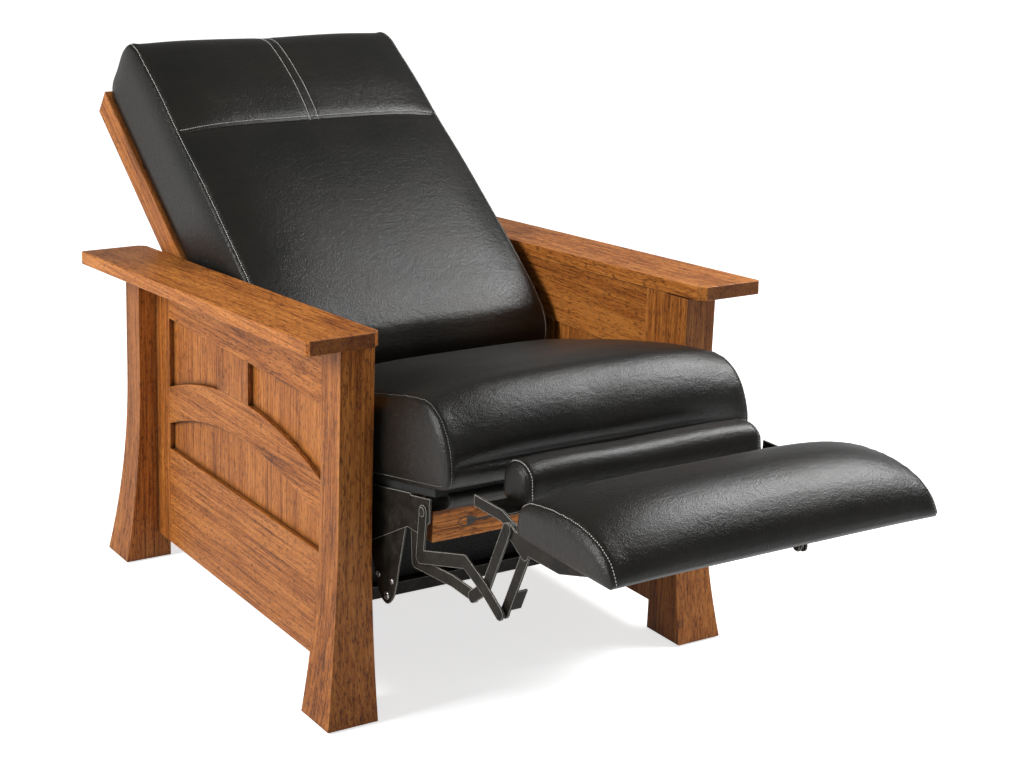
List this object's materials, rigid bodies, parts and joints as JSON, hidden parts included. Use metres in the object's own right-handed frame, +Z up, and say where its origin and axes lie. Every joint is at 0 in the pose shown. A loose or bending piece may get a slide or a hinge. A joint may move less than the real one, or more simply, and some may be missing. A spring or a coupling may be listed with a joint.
{
  "type": "reclining armchair with fold-out footrest",
  "caption": "Reclining wooden armchair with panelled arched sides, flared legs, crowned leather cushions, and a steel-linked fold-out footrest, shown laid back.",
  "frame": {"origin": "centre of the bounding box on the floor plane, in the laid-back pose", "axes": "+Z up; +Y from the footrest towards the back; +X to the sitter's left"},
  "size_m": [0.876, 1.7348, 0.9633],
  "materials": {
    "oak": "satin",
    "inner_wood": "raw",
    "inlay_wood": "satin",
    "leather": "semi-gloss",
    "painted_steel": "satin",
    "screw_steel": "plain",
    "nylon": "matte"
  },
  "bodies": {
    "chair_frame": {"arm_board_left": "oak", "arm_board_right": "oak", "leg_front_left": "oak", "leg_front_right": "oak", "leg_rear_left": "oak", "leg_rear_right": "oak", "side_stile_front_left": "oak", "side_stile_front_right": "oak", "side_stile_rear_left": "oak", "side_stile_rear_right": "oak", "side_top_rail_left": "oak", "side_top_rail_right": "oak", "side_bottom_rail_left": "oak", "side_bottom_rail_right": "oak", "side_arch_rail_left": "oak", "side_arch_rail_right": "oak", "side_mullion_left": "oak", "side_mullion_right": "oak", "side_panels_left": "oak", "side_panels_right": "oak", "rear_rail": "oak", "floor_glides": "nylon", "base_rail_left": "painted_steel", "base_rail_right": "painted_steel", "cross_angle_front": "painted_steel", "cross_angle_rear": "painted_steel", "base_screws": "screw_steel"},
    "seat": {"seat_cushion": "leather", "seat_deck": "inner_wood", "deck_rail_left": "inner_wood", "deck_rail_right": "inner_wood", "front_oak_rail": "oak", "rail_inlays": "inlay_wood", "seat_plate_left": "painted_steel", "seat_plate_right": "painted_steel", "seat_glides": "nylon"},
    "back": {"back_stile_left": "oak", "back_stile_right": "oak", "back_top_rail": "oak", "back_bottom_rail": "oak", "back_panel": "oak", "back_bracket_left": "painted_steel", "back_bracket_right": "painted_steel", "back_cushion": "leather"},
    "front_links": {"front_link_left": "painted_steel", "front_link_right": "painted_steel"},
    "rear_links": {"rear_link_left": "painted_steel", "rear_link_right": "painted_steel"},
    "outer_links": {"outer_link_left": "painted_steel", "outer_link_right": "painted_steel"},
    "inner_links": {"inner_link_left": "painted_steel", "inner_link_right": "painted_steel"},
    "footrest": {"footrest_bracket_left": "painted_steel", "footrest_bracket_right": "painted_steel", "footrest_board": "inner_wood", "footrest_pad": "leather"},
    "mid_footrest": {"mid_bracket_left": "painted_steel", "mid_bracket_right": "painted_steel", "mid_board": "inner_wood", "mid_pad": "leather"}
  },
  "joints": [
    {"name": "seat_slide", "type": "slide", "parent": "chair_frame", "child": "seat", "axis": [0, 0.9945, -0.1045], "range_m": [0, 0.12]},
    {"name": "back_recline", "type": "hinge", "parent": "seat", "child": "back", "pos_m": [0, 0.24299, 0.36501], "axis": [1, 0, 0], "range_deg": [0, 35]},
    {"name": "footrest_fold", "type": "hinge", "parent": "seat", "child": "front_links", "pos_m": [0, -0.379, 0.387], "axis": [1, 0, 0], "range_deg": [0, 90]},
    {"name": "rear_link_pivot", "type": "hinge", "parent": "seat", "child": "rear_links", "pos_m": [0, -0.3436, 0.36], "axis": [1, 0, 0], "range_deg": [0, 90]},
    {"name": "outer_link_pivot", "type": "hinge", "parent": "front_links", "child": "outer_links", "pos_m": [0, -0.5515, 0.3266], "axis": [1, 0, 0], "range_deg": [-90, 0]},
    {"name": "inner_link_pivot", "type": "hinge", "parent": "front_links", "child": "inner_links", "pos_m": [0, -0.5925, 0.3026], "axis": [1, 0, 0], "range_deg": [-90, 0]},
    {"name": "footrest_pivot", "type": "hinge", "parent": "outer_links", "child": "footrest", "pos_m": [0, -0.6, 0.4336], "axis": [1, 0, 0], "range_deg": [0, 90]},
    {"name": "mid_pad_pivot", "type": "hinge", "parent": "outer_links", "child": "mid_footrest", "pos_m": [0, -0.6, 0.4336], "axis": [1, 0, 0], "range_deg": [-90, 0]}
  ],
  "couplings": [
    {"joint": "back_recline", "follows": "seat_slide", "rad_per_m": 5.0905},
    {"joint": "rear_link_pivot", "follows": "footrest_fold", "ratio": 1},
    {"joint": "outer_link_pivot", "follows": "footrest_fold", "ratio": -1},
    {"joint": "inner_link_pivot", "follows": "footrest_fold", "ratio": -1},
    {"joint": "footrest_pivot", "follows": "footrest_fold", "ratio": 1},
    {"joint": "mid_pad_pivot", "follows": "footrest_fold", "ratio": -1}
  ]
}
